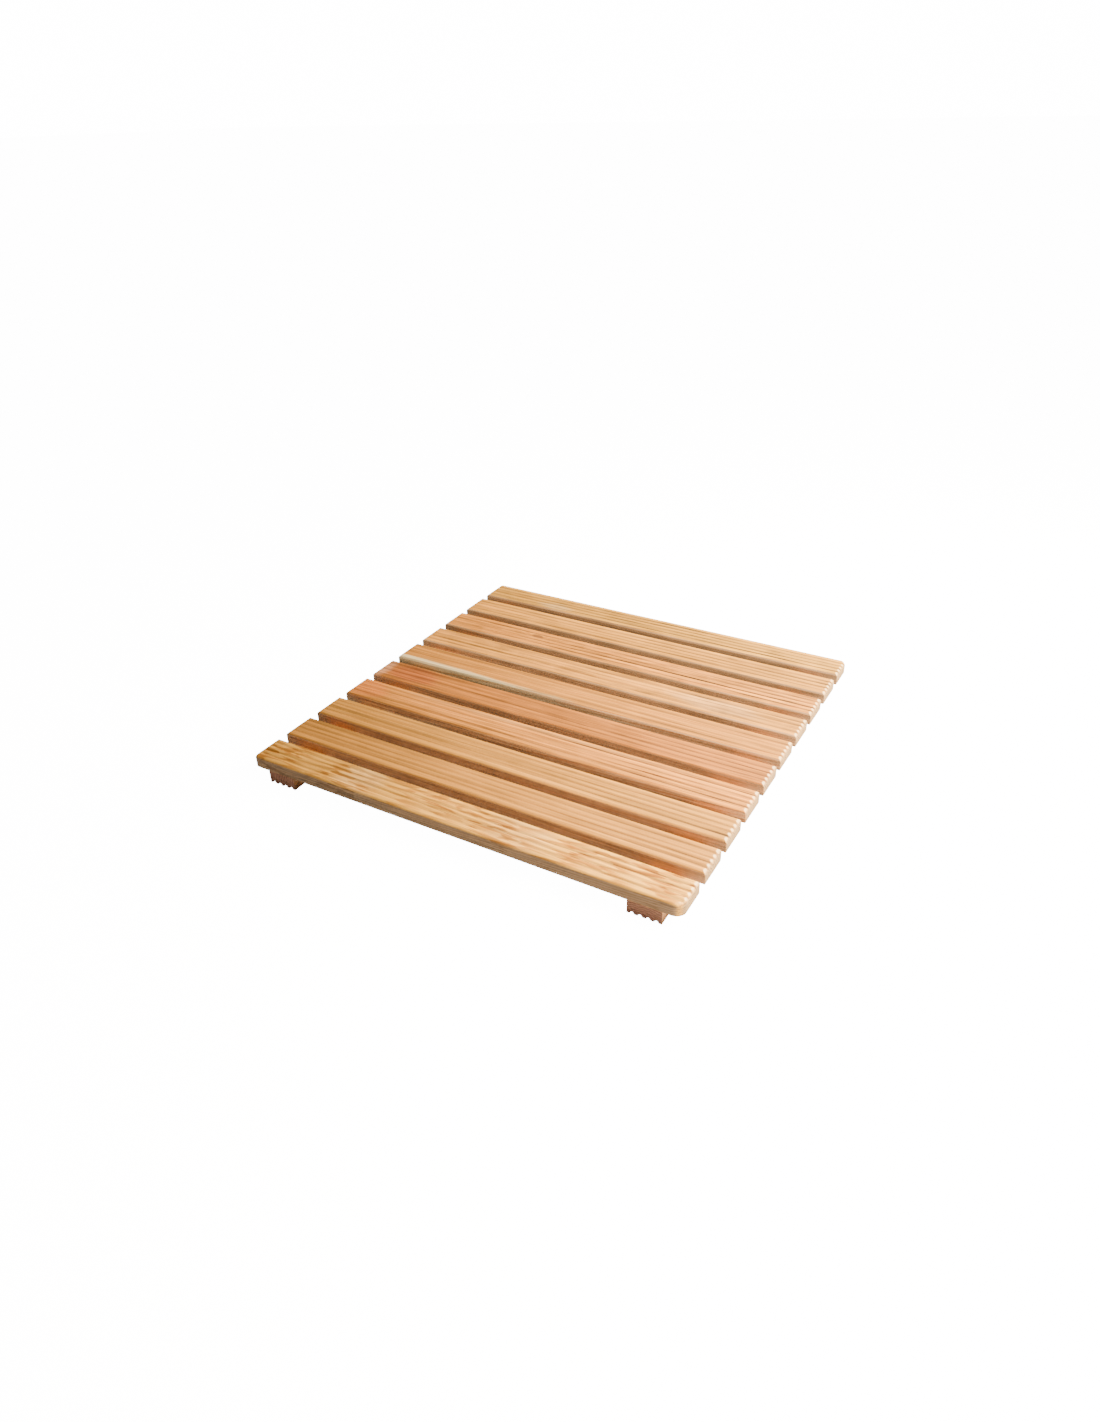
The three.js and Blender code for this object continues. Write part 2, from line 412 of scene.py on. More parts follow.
def add_drill(bm, place, rings):
    """One cutter: circles of given radius and height, bridged into a closed solid."""
    loops = []
    for radius, z in rings:
        turn = Matrix.Translation((place.x, place.y, z))
        circle = bmesh.ops.create_circle(bm, segments=HOLE_SIDES, radius=radius, matrix=turn)
        ring = set(circle["verts"])
        loops.append([edge for edge in bm.edges if edge.verts[0] in ring and edge.verts[1] in ring])
    for lower, upper in zip(loops, loops[1:]):
        bmesh.ops.bridge_loops(bm, edges=lower + upper)
    bmesh.ops.contextual_create(bm, geom=loops[0])
    bmesh.ops.contextual_create(bm, geom=loops[-1])


def drill(piece, places, rings):
    cutter_mesh = bpy.data.meshes.new("drills")
    bm = bmesh.new()
    for place in places:
        add_drill(bm, place, rings)
    bmesh.ops.recalc_face_normals(bm, faces=bm.faces)
    bm.to_mesh(cutter_mesh)
    bm.free()
    cutter = bpy.data.objects.new("drills", cutter_mesh)
    bpy.context.scene.collection.objects.link(cutter)
    cut = piece.modifiers.new("holes", "BOOLEAN")
    cut.operation, cut.solver, cut.object = "DIFFERENCE", "EXACT", cutter
    bpy.context.view_layer.update()
    shaped = bpy.data.meshes.new_from_object(piece.evaluated_get(bpy.context.evaluated_depsgraph_get()))
    piece.modifiers.remove(cut)
    old = piece.data
    piece.data = shaped
    shaped.name = old.name + "_drilled"
    bpy.data.meshes.remove(old)
    bpy.data.objects.remove(cutter)
    bpy.data.meshes.remove(cutter_mesh)


def crisp_edges(piece, crease):
    """Shades the piece smoothly except across edges sharper than an angle."""
    bm = bmesh.new()
    bm.from_mesh(piece.data)
    bmesh.ops.remove_doubles(bm, verts=bm.verts, dist=0.0005 * MM)
    bmesh.ops.recalc_face_normals(bm, faces=bm.faces)
    for face in bm.faces:
        face.smooth = True
    for edge in bm.edges:
        edge.smooth = not (len(edge.link_faces) == 2
                           and edge.calc_face_angle() > crease)
    bm.to_mesh(piece.data)
    bm.free()


def show(piece, node):
    """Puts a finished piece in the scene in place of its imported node."""
    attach(piece, "root")
    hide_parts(node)


def new_piece(name, mesh):
    piece = bpy.data.objects.new(name, mesh)
    bpy.context.scene.collection.objects.link(piece)
    return piece


print("first screw axis", screw_axis(SCREWS[0]))

# %% [markdown]
# ## Slats
#
# Each slat is a planed larch board with its four grooves on top. A round-over bit has been run
# along both long edges and across both ends, so every rib ends in a little scallop, which the
# wood material brightens with a painted highlight. The outermost slats also carry the mat's
# rounded plan corners.

# %% Slats
def corner_radii(index):
    front = MAT_CORNERS[:2] if index == 0 else (SLAT_CORNER, SLAT_CORNER)
    back = MAT_CORNERS[2:] if index == len(SLATS) - 1 else (SLAT_CORNER, SLAT_CORNER)
    return (*front, *back)


def make_slat(index, node):
    low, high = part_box(node)
    size = high - low
    mesh = make_strip(node, size.x, size.y, size.z, SLAT_FORM, corner_radii(index), index + 1)
    mesh.transform(Matrix.Translation(((low.x + high.x) / 2, (low.y + high.y) / 2, low.z)))
    piece = new_piece("fine_" + node, mesh)
    number = node[-2:]
    screws = [name for name in SCREWS if name[:-1].endswith("_" + number)]
    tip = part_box(screws[0])[1].z + PILOT_SPARE
    drill(piece, [screw_axis(name) for name in screws],
          [(SCREW_SHANK + HOLE_SPARE, low.z - 2 * MM), (SCREW_SHANK + HOLE_SPARE, tip - 1.2 * MM),
           (0.3 * MM, tip)])
    crisp_edges(piece, WOOD_CREASE)
    show(piece, node)
    return piece


slats = [make_slat(index, node) for index, node in enumerate(SLATS)]
print("slats", len(slats), "faces in one", len(slats[0].data.polygons))

# %% [markdown]
# ## Battens
#
# The two battens are the same sort of grooved strip turned over, with the ribs on the floor,
# so that water can drain away under the mat. Their ends are sawn square and only eased, and
# the grooves show there as notches. They are deeper than the slats' grooves, which gives the
# ribs their tooth-like look from the front.

# %% Battens
def make_batten(node, seed):
    low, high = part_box(node)
    size = high - low
    mesh = make_strip(node, size.y, size.x, size.z, BATTEN_FORM,
                      (BATTEN_CORNER,) * 4, seed, spacing=10 * MM)
    turned_over = Matrix.Rotation(math.pi, 4, "X")
    along_depth = Matrix.Rotation(math.pi / 2, 4, "Z")
    place = Matrix.Translation(((low.x + high.x) / 2, (low.y + high.y) / 2, high.z))
    mesh.transform(place @ along_depth @ turned_over)
    piece = new_piece("fine_" + node, mesh)
    side = node.split("_")[1]
    screws = [name for name in SCREWS if name.startswith("screw_" + side)]
    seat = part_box(screws[0])[0].z
    head = (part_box(screws[0])[1].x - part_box(screws[0])[0].x) / 2 + HOLE_SPARE
    bore = SCREW_SHANK + HOLE_SPARE
    drill(piece, [screw_axis(name) for name in screws],
          [(head, low.z - 2 * MM), (head, seat + 0.4 * MM), (bore, seat + 2.3 * MM),
           (bore, high.z + 2 * MM)])
    crisp_edges(piece, WOOD_CREASE)
    show(piece, node)
    return piece


battens = [make_batten(node, 31 + index) for index, node in enumerate(BATTENS)]
print("battens", len(battens), "faces in one", len(battens[0].data.polygons))

# %% [markdown]
# ## Screws
#
# Stainless wood screws: a countersunk head with a six-lobed recess, a short plain shank, a
# spiral thread and a gimlet point. The body is a profile spun about the screw's axis. The
# recess is the middle of the head pushed in after its rim has been pulled into six lobes. The
# thread is a small triangle carried round and up the shank, as the rolling die forms it.

# %% Screws
SCREW_SIDES = 24
HEAD_RIM = 0.4 * MM
HEAD_HEIGHT = 2.2 * MM
SHANK_CORE = 1.15 * MM
THREAD_PITCH = 1.8 * MM
POINT_LENGTH = 4 * MM
RECESS_RADIUS = 1.7 * MM
RECESS_DEPTH = 1.5 * MM
RECESS_LOBES = 6
LOBE_SHARE = 0.13
SCREW_CREASE = math.radians(35)


def spin_profile(bm, profile, sides):
    verts = [bm.verts.new((radius, 0, z)) for radius, z in profile]
    edges = [bm.edges.new(pair) for pair in zip(verts, verts[1:])]
    bmesh.ops.spin(bm, geom=verts + edges, cent=(0, 0, 0), axis=(0, 0, 1), angle=math.tau,
                   steps=sides, use_merge=True, use_duplicate=False)
    bmesh.ops.remove_doubles(bm, verts=bm.verts, dist=0.002 * MM)


def lobed(angle):
    return 1 + LOBE_SHARE * math.cos(RECESS_LOBES * angle)


def press_recess(bm):
    """Closes the head with a flat ring, then pushes its lobed middle inwards."""
    loop = [edge for edge in bm.edges if edge.is_boundary and edge.verts[0].co.z < 0.01 * MM]
    for radius, depth in ((RECESS_RADIUS, 0.0), (RECESS_RADIUS * 0.93, 0.12 * MM),
                          (RECESS_RADIUS * 0.86, RECESS_DEPTH), (RECESS_RADIUS * 0.3, RECESS_DEPTH * 1.2)):
        grown = bmesh.ops.extrude_edge_only(bm, edges=loop)
        loop = [item for item in grown["geom"] if isinstance(item, bmesh.types.BMEdge)]
        for vert in {vert for edge in loop for vert in edge.verts}:
            angle = math.atan2(vert.co.y, vert.co.x)
            reach = radius * lobed(angle)
            vert.co = Vector((reach * math.cos(angle), reach * math.sin(angle), depth))
    bmesh.ops.contextual_create(bm, geom=loop)


def wind_thread(bm, length):
    """A spiral ridge from just above the plain shank to the point."""
    start, end = HEAD_HEIGHT + 3.2 * MM, length - 1.0 * MM
    turns = (end - start) / THREAD_PITCH
    core, crest, foot = SHANK_CORE - 0.1 * MM, SCREW_SHANK - 0.02 * MM, 0.45 * MM
    section = [bm.verts.new(spot) for spot in
               ((core, 0, start - foot), (crest, 0, start), (core, 0, start + foot))]
    face = bm.faces.new(section)
    steps = round(turns * 14)
    bmesh.ops.spin(bm, geom=[face], cent=(0, 0, 0), axis=(0, 0, 1),
                   dvec=(0, 0, (end - start) / steps), angle=math.tau * turns,
                   steps=steps, use_duplicate=False)
    thread = [vert for vert in bm.verts if vert.co.z > length - POINT_LENGTH
              and math.hypot(vert.co.x, vert.co.y) > SHANK_CORE * 0.5]
    for vert in thread:
        share = max(0.0, min(1.0, (length - vert.co.z) / POINT_LENGTH))
        vert.co.x *= 0.2 + 0.8 * share
        vert.co.y *= 0.2 + 0.8 * share


def make_screw_mesh(length, head_radius):
    bm = bmesh.new()
    spin_profile(bm, [(head_radius, 0.0), (head_radius, HEAD_RIM), (SHANK_CORE + 0.5 * MM, HEAD_HEIGHT),
                      (SHANK_CORE + 0.3 * MM, HEAD_HEIGHT + 3.0 * MM), (SHANK_CORE, HEAD_HEIGHT + 3.3 * MM),
                      (SHANK_CORE, length - POINT_LENGTH), (0.0, length)], SCREW_SIDES)
    press_recess(bm)
    wind_thread(bm, length)
    bmesh.ops.recalc_face_normals(bm, faces=bm.faces)
    for face in bm.faces:
        face.smooth = True
    for edge in bm.edges:
        edge.smooth = not (len(edge.link_faces) == 2 and edge.calc_face_angle() > SCREW_CREASE)
    mesh = bpy.data.meshes.new("screw")
    bm.to_mesh(mesh)
    bm.free()
    return mesh


def make_screw(node, pattern, turn):
    low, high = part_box(node)
    mesh = pattern.copy()
    mesh.name = node
    place = Matrix.Translation(((low.x + high.x) / 2, (low.y + high.y) / 2, low.z))
    mesh.transform(place @ Matrix.Rotation(turn, 4, "Z"))
    piece = new_piece("fine_" + node, mesh)
    show(piece, node)
    return piece


screw_low, screw_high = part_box(SCREWS[0])
pattern = make_screw_mesh(screw_high.z - screw_low.z, (screw_high.x - screw_low.x) / 2)
turns = random.Random(7)
screws = [make_screw(node, pattern, turns.uniform(0, math.tau)) for node in SCREWS]
bpy.data.meshes.remove(pattern)
print("screws", len(screws), "faces in one", len(screws[0].data.polygons))

# %% [markdown]
# ## Building wood from nodes
#
# Every wooden piece uses the same few shader groups with its own numbers, the way one joiner
# cuts many boards from one tree. The groups work in the piece's own coordinates, in metres, so
# the grain runs on through edges, grooves and ends as real grain does. First come the helpers
# that keep node wiring short.

# %% Node helpers
def add_node(tree, kind, values=None, **settings):
    """Adds a shader node. A value that is a socket is linked, and any other is set."""
    node = tree.nodes.new("ShaderNode" + kind)
    for key, setting in settings.items():
        setattr(node, key, setting)
    for key, value in (values or {}).items():
        if isinstance(value, bpy.types.NodeSocket):
            tree.links.new(value, node.inputs[key])
        else:
            node.inputs[key].default_value = value
    return node


def maths(tree, operation, *values, clamp=False):
    node = add_node(tree, "Math", dict(enumerate(values)), operation=operation, use_clamp=clamp)
    return node.outputs[0]


def vector_maths(tree, operation, *values):
    return add_node(tree, "VectorMath", dict(enumerate(values)), operation=operation).outputs[0]


def ramp(tree, value, start, end, low=0.0, high=1.0):
    """A smooth step of value from start to end, giving low to high."""
    node = add_node(tree, "MapRange", {"Value": value, "From Min": start, "From Max": end,
                                       "To Min": low, "To Max": high},
                    interpolation_type="SMOOTHSTEP")
    return node.outputs["Result"]


def mix(tree, factor, one, other, blend="MIX"):
    node = add_node(tree, "Mix", {0: factor, 6: one, 7: other}, data_type="RGBA", blend_type=blend)
    return node.outputs[2]


def noise_at(tree, place, scale, detail=2.0, roughness=0.5, distortion=0.0):
    return add_node(tree, "TexNoise", {"Vector": place, "Scale": scale, "Detail": detail,
                                       "Roughness": roughness, "Distortion": distortion})


def stretched(tree, place, factors):
    """Coordinates stretched along the grain, for patterns longer than they are wide."""
    return vector_maths(tree, "MULTIPLY", place, factors)


def new_group(name, inputs, outputs):
    """A node group with named sockets. An input is (name, type, default)."""
    tree = bpy.data.node_groups.new(name, "ShaderNodeTree")
    for label, kind, default in inputs:
        socket = tree.interface.new_socket(label, in_out="INPUT", socket_type="NodeSocket" + kind)
        socket.default_value = default
    for label, kind in outputs:
        tree.interface.new_socket(label, in_out="OUTPUT", socket_type="NodeSocket" + kind)
    start = tree.nodes.new("NodeGroupInput")
    end = tree.nodes.new("NodeGroupOutput")
    return tree, start.outputs, end.inputs


def place_group(tree, group, values):
    node = tree.nodes.new("ShaderNodeGroup")
    node.node_tree = group
    for key, value in values.items():
        if isinstance(value, bpy.types.NodeSocket):
            tree.links.new(value, node.inputs[key])
        else:
            node.inputs[key].default_value = value
    return node.outputs


print("node helpers ready")

# %% [markdown]
# ## Growth rings
#
# A tree lays down pale, soft wood in spring and a thin, dark, hard band in late summer. Sawn
# boards show those bands as stripes, cathedral arches or dashes, depending on how the board
# lay in the log. The group measures the distance to the pith, a line inside or outside the
# board that may lean, and turns it into rings. Noise makes the rings wander, and a soft bump
# in the distance bends them round a knot.

# %% Growth ring group
def build_ring_group():
    tree, given, result = new_group(
        "larch_growth_rings",
        [("Place", "Vector", (0, 0, 0)), ("Pith", "Vector", (0, 0, -0.08)),
         ("Lean", "Vector", (0, 0, 0)), ("Spacing", "Float", 0.002), ("Wander", "Float", 0.002),
         ("Wander Scale", "Float", 8.0), ("Knot Place", "Vector", (9, 0, 0)),
         ("Knot Size", "Float", 0.02), ("Knot Push", "Float", 0.0), ("Seed", "Float", 0.0)],
        [("Late", "Float"), ("Ring Tone", "Float"), ("Knot", "Float")])
    apart = add_node(tree, "SeparateXYZ", {0: given["Place"]}).outputs
    seed_shift = add_node(tree, "CombineXYZ", {0: given["Seed"], 1: given["Seed"]}).outputs[0]
    far = vector_maths(tree, "ADD", given["Place"], seed_shift)
    long_place = stretched(tree, far, (1.0, 3.0, 3.0))
    wave = noise_at(tree, long_place, given["Wander Scale"], detail=2.5)
    wave_shift = vector_maths(tree, "SUBTRACT", wave.outputs["Color"], (0.5, 0.5, 0.5))
    shift = add_node(tree, "VectorMath", {0: wave_shift, 3: given["Wander"]}, operation="SCALE").outputs[0]
    lean = add_node(tree, "VectorMath", {0: given["Lean"], 3: apart[0]}, operation="SCALE").outputs[0]
    offset = vector_maths(tree, "SUBTRACT", vector_maths(tree, "ADD", given["Place"], shift),
                          vector_maths(tree, "ADD", given["Pith"], lean))
    across = vector_maths(tree, "MULTIPLY", offset, (0.0, 1.0, 1.0))
    radius = add_node(tree, "VectorMath", {0: across}, operation="LENGTH").outputs["Value"]
    knot_gap = add_node(tree, "VectorMath",
                        {0: stretched(tree, vector_maths(tree, "SUBTRACT", given["Place"],
                                                         given["Knot Place"]), (0.45, 1.0, 1.0))},
                        operation="LENGTH").outputs["Value"]
    knot = ramp(tree, maths(tree, "DIVIDE", knot_gap, given["Knot Size"]), 1.0, 0.0)
    pushed = maths(tree, "ADD", radius, maths(tree, "MULTIPLY", knot, given["Knot Push"]))
    years = maths(tree, "DIVIDE", pushed, given["Spacing"])
    uneven = noise_at(tree, stretched(tree, far, (0.5, 30.0, 30.0)), 6.0, detail=1.0)
    years = maths(tree, "ADD", years, maths(tree, "MULTIPLY", uneven.outputs["Fac"], 1.6))
    part = maths(tree, "FRACT", years)
    year = maths(tree, "FLOOR", years)
    late = maths(tree, "MULTIPLY", ramp(tree, part, 0.30, 0.86), ramp(tree, part, 1.0, 0.9))
    tone = add_node(tree, "TexWhiteNoise", {"W": year}, noise_dimensions="1D").outputs["Value"]
    strength = ramp(tree, tone, 0.0, 1.0, 0.45, 1.0)
    tree.links.new(maths(tree, "MULTIPLY", late, strength), result["Late"])
    tree.links.new(tone, result["Ring Tone"])
    tree.links.new(ramp(tree, knot, 0.78, 0.92), result["Knot"])
    return tree


ring_group = build_ring_group()
print("rings:", len(ring_group.nodes), "nodes")

# %% [markdown]
# ## Fibres, flecks, worn edges and painted rib shading
#
# Close up, planed softwood shows fine fibres along the grain, short dark resin flecks, and a
# slow mottling where the figure rolls. One board also has clusters of longer resin dashes.
# Use changes it too: the rims polish paler, and the rib crests polish smoother. On top of that
# the crests are painted a little lighter, a painted highlight, and the grooves between them get
# painted shade, turned into painted light where a board's groove amount is below zero. Each of
# these is a mask that the wood group below turns into colour, roughness and relief.

# %% Fibre, wear and shade groups
def build_fibre_group():
    tree, given, result = new_group(
        "wood_fibres",
        [("Place", "Vector", (0, 0, 0)), ("Fineness", "Float", 1.0), ("Seed", "Float", 0.0)],
        [("Fibre", "Float"), ("Fleck", "Float"), ("Mottle", "Float"), ("Streak", "Float"),
         ("Dash", "Float")])
    seed_shift = add_node(tree, "CombineXYZ", {0: given["Seed"], 2: given["Seed"]}).outputs[0]
    far = vector_maths(tree, "ADD", given["Place"], seed_shift)
    scaled = add_node(tree, "VectorMath", {0: far, 3: given["Fineness"]}, operation="SCALE").outputs[0]
    fibre = noise_at(tree, stretched(tree, scaled, (12, 620, 620)), 1.0, detail=3.0, roughness=0.65)
    fleck = noise_at(tree, stretched(tree, scaled, (55, 1500, 1500)), 1.0, detail=1.0)
    mottle = noise_at(tree, stretched(tree, scaled, (22, 60, 60)), 1.0, detail=3.0, distortion=0.6)
    streak = noise_at(tree, stretched(tree, scaled, (2.5, 170, 170)), 1.0, detail=3.0)
    dash = noise_at(tree, stretched(tree, scaled, (42, 250, 250)), 1.0, detail=1.0)
    cluster = noise_at(tree, stretched(tree, scaled, (13, 20, 20)), 1.0, detail=1.0)
    dash_mask = maths(tree, "MULTIPLY", ramp(tree, dash.outputs["Fac"], 0.49, 0.57),
                      ramp(tree, cluster.outputs["Fac"], 0.40, 0.52))
    tree.links.new(dash_mask, result["Dash"])
    tree.links.new(fibre.outputs["Fac"], result["Fibre"])
    tree.links.new(ramp(tree, fleck.outputs["Fac"], 0.64, 0.74), result["Fleck"])
    tree.links.new(mottle.outputs["Fac"], result["Mottle"])
    tree.links.new(streak.outputs["Fac"], result["Streak"])
    return tree


def build_wear_group():
    tree, given, result = new_group(
        "rubbed_and_shaded_wood",
        [("Place", "Vector", (0, 0, 0)), ("Dip", "Float", 0.0), ("Rim", "Float", 0.0)],
        [("Groove Shade", "Float"), ("Crest Wear And Highlight", "Float"), ("Edge", "Float")])
    patchy = noise_at(tree, stretched(tree, given["Place"], (40, 90, 90)), 1.0, detail=3.0)
    rub = ramp(tree, patchy.outputs["Fac"], 0.35, 0.65, 0.4, 1.0)
    # the groove output is painted shade in the grooves, the crest output is a painted highlight on the rib
    # crests and also their smoother polish, and the edge output is real wear on the rims
    tree.links.new(ramp(tree, given["Dip"], 0.25, 1.0), result["Groove Shade"])
    tree.links.new(maths(tree, "MULTIPLY", ramp(tree, given["Dip"], 0.25, 0.0), rub), result["Crest Wear And Highlight"])
    tree.links.new(maths(tree, "MULTIPLY", ramp(tree, given["Rim"], 0.15, 1.0), rub), result["Edge"])
    return tree


def build_patch_group():
    tree, given, result = new_group(
        "soft_patch",
        [("Place", "Vector", (0, 0, 0)), ("Middle", "Vector", (0, 0, 0)),
         ("Reach", "Vector", (0.05, 0.02, 0.02)), ("Ragged", "Float", 0.35)],
        [("Mask", "Float")])
    gap = vector_maths(tree, "DIVIDE", vector_maths(tree, "SUBTRACT", given["Place"], given["Middle"]),
                       given["Reach"])
    far = add_node(tree, "VectorMath", {0: gap}, operation="LENGTH").outputs["Value"]
    rough = noise_at(tree, stretched(tree, given["Place"], (16, 160, 160)), 1.0, detail=2.0)
    ragged = maths(tree, "MULTIPLY", maths(tree, "SUBTRACT", rough.outputs["Fac"], 0.5), given["Ragged"])
    ragged = maths(tree, "MULTIPLY", ragged, 3.0)
    tree.links.new(ramp(tree, maths(tree, "ADD", far, ragged), 1.15, 0.55), result["Mask"])
    return tree


fibre_group = build_fibre_group()
wear_group = build_wear_group()
patch_group = build_patch_group()
print("fibres", len(fibre_group.nodes), "wear", len(wear_group.nodes), "patch", len(patch_group.nodes))

# %% [markdown]
# ## One board's wood
#
# The wood group takes those masks and gives a base colour, a roughness and a height. Early
# wood has the tone the material hands in, which holds the board's colour together with its
# painted light and painted side shade, and late wood is a deeper, redder version of it. Sawn
# ends have a browner tone and a rougher face, and the rings show there as arcs. Which faces
# are ends comes in as a mask, which the material works out from the way each face looks. The
# grooves get painted shade, and the rib crests and rib ends a painted highlight.

# %% Wood group
def build_wood_group():
    tree, given, result = new_group(
        "larch_wood",
        [("Board Tone", "Color", (0.6, 0.4, 0.2, 1)), ("Late Tint", "Color", (0.7, 0.5, 0.35, 1)),
         ("Late Amount", "Float", 0.6), ("End Tone", "Color", (0.8, 0.7, 0.55, 1)),
         ("End Amount", "Float", 0.5), ("End Side", "Float", 0.0), ("Late", "Float", 0.0),
         ("Ring Tone", "Float", 0.5), ("Knot", "Float", 0.0), ("Fibre", "Float", 0.5),
         ("Fleck", "Float", 0.0), ("Mottle", "Float", 0.5), ("Streak", "Float", 0.5),
         ("Groove Shade", "Float", 0.0), ("Crest Wear And Highlight", "Float", 0.0), ("Edge", "Float", 0.0),
         ("Rib End Highlight", "Float", 0.0), ("Dash", "Float", 0.0), ("Fibre Amount", "Float", 0.6),
         ("Streak Amount", "Float", 0.4), ("Mottle Amount", "Float", 0.3),
         ("Groove Amount", "Float", 0.3)],
        [("Color", "Color"), ("Roughness", "Float"), ("Height", "Float")])
    late = maths(tree, "MULTIPLY", given["Late"], given["Late Amount"])
    tone = mix(tree, late, given["Board Tone"], mix(tree, 1.0, given["Board Tone"], given["Late Tint"],
                                                    "MULTIPLY"))
    year = ramp(tree, given["Ring Tone"], 0.0, 1.0, 0.95, 1.05)
    streak = maths(tree, "MULTIPLY", maths(tree, "SUBTRACT", given["Streak"], 0.5), given["Streak Amount"])
    mottle = maths(tree, "MULTIPLY", maths(tree, "SUBTRACT", given["Mottle"], 0.5), given["Mottle Amount"])
    fibre = maths(tree, "MULTIPLY", maths(tree, "SUBTRACT", given["Fibre"], 0.5), given["Fibre Amount"])
    light = maths(tree, "ADD", maths(tree, "ADD", streak, mottle), maths(tree, "ADD", fibre, year))
    light = maths(tree, "SUBTRACT", light, maths(tree, "MULTIPLY", given["Fleck"], 0.10))
    # painted shade in the grooves, scaled by the groove amount (below zero it paints them paler, as painted
    # light), and a painted highlight on the rib crests
    light = maths(tree, "SUBTRACT", light, maths(tree, "MULTIPLY", given["Groove Shade"], given["Groove Amount"]))
    light = maths(tree, "ADD", light, maths(tree, "MULTIPLY", given["Crest Wear And Highlight"], 0.05))
    grey = add_node(tree, "CombineColor", {0: light, 1: light, 2: light}).outputs[0]
    tone = mix(tree, 1.0, tone, grey, "MULTIPLY")
    dashed = mix(tree, 1.0, tone, (0.60, 0.49, 0.30, 1), "MULTIPLY")
    tone = mix(tree, given["Dash"], tone, dashed)
    tone = mix(tree, maths(tree, "MULTIPLY", given["Edge"], 0.03), tone, (0.95, 0.80, 0.55, 1))
    end_late = mix(tree, 1.0, given["End Tone"], (0.36, 0.25, 0.20, 1), "MULTIPLY")
    end_tone = mix(tree, maths(tree, "MULTIPLY", given["Late"], 0.9), given["End Tone"], end_late)
    tone = mix(tree, maths(tree, "MULTIPLY", given["End Side"], given["End Amount"]), tone, end_tone)
    # painted highlight: the rounded rib ends that face up and along the slat are brightened towards cream,
    # as if catching the light
    tip = maths(tree, "MULTIPLY", given["Rib End Highlight"], 0.60)
    tone = mix(tree, tip, tone, (0.95, 0.78, 0.50, 1))
    tone = mix(tree, maths(tree, "MULTIPLY", given["Knot"], 0.7), tone, (0.14, 0.055, 0.02, 1))
    rough = maths(tree, "ADD", 0.50, maths(tree, "MULTIPLY", given["Fibre"], 0.16))
    rough = maths(tree, "SUBTRACT", rough, maths(tree, "MULTIPLY", given["Crest Wear And Highlight"], 0.07))
    rough = maths(tree, "SUBTRACT", rough, maths(tree, "MULTIPLY", given["Late"], 0.05))
    rough = maths(tree, "ADD", rough, maths(tree, "MULTIPLY", given["End Side"], 0.2))
    height = maths(tree, "ADD", maths(tree, "MULTIPLY", given["Fibre"], 0.5),
                   maths(tree, "MULTIPLY", given["Late"], 0.35))
    height = maths(tree, "SUBTRACT", height, maths(tree, "MULTIPLY", given["Fleck"], 0.4))
    tree.links.new(tone, result["Color"])
    tree.links.new(rough, result["Roughness"])
    tree.links.new(height, result["Height"])
    return tree


wood_group = build_wood_group()
print("wood:", len(wood_group.nodes), "nodes")

# %% [markdown]
# ## Ten boards, ten characters
#
# Each slat has its own look. Larch runs from yellow sapwood to red heartwood, so a board's
# tone is a mixture of those two, made deeper or lighter towards each end: partly the board's
# own drift and partly painted light, for most boards darker at the left end and lighter at the
# right, near the lamp. The long sides share one duller tone that is painted shade, with a
# brightness for each board that paints in how much light its sides get. The table also says
# how the rings lie, how strongly they show, and where there are patches or a knot.
#
# - Red is the share of heartwood. Depth is a gain on the tone at the left and right ends, partly
#   the board's own drift and partly painted light, for most boards lower at the left, away from
#   the lamp.
# - Side is a gain on the painted side shade, set to how much light that board's sides get;
#   above 1, as on the battens, it is painted light. Side_from is how far sideways a face has to
#   look before it starts to take that tone.
# - Groove is how much painted shade goes into the grooves near the left and right ends, and a
#   minus paints them paler instead, as painted light.
# - Pith places are in metres from the slat's middle. Far below gives flat-sawn figure, and
#   far to one side gives straight stripes.
# - Lean is how much the pith drifts for each metre of length.
# - Patches are (middle, reach, tone, amount), with middle and reach in metres.

# %% Larch tones
SAPWOOD = (0.62, 0.31, 0.05)
HEARTWOOD = (0.42, 0.13, 0.02)
# painted shade: the darker, duller tone that faces looking sideways take, standing in for the shade on the
# long sides
SIDE_SHADE_TONE = (0.42, 0.24, 0.12)


def larch_tone(red):
    """A board's own tone, from yellow sapwood at 0 to red heartwood at 1."""
    return tuple(sap + (heart - sap) * red for sap, heart in zip(SAPWOOD, HEARTWOOD))


print("half red larch", larch_tone(0.5))

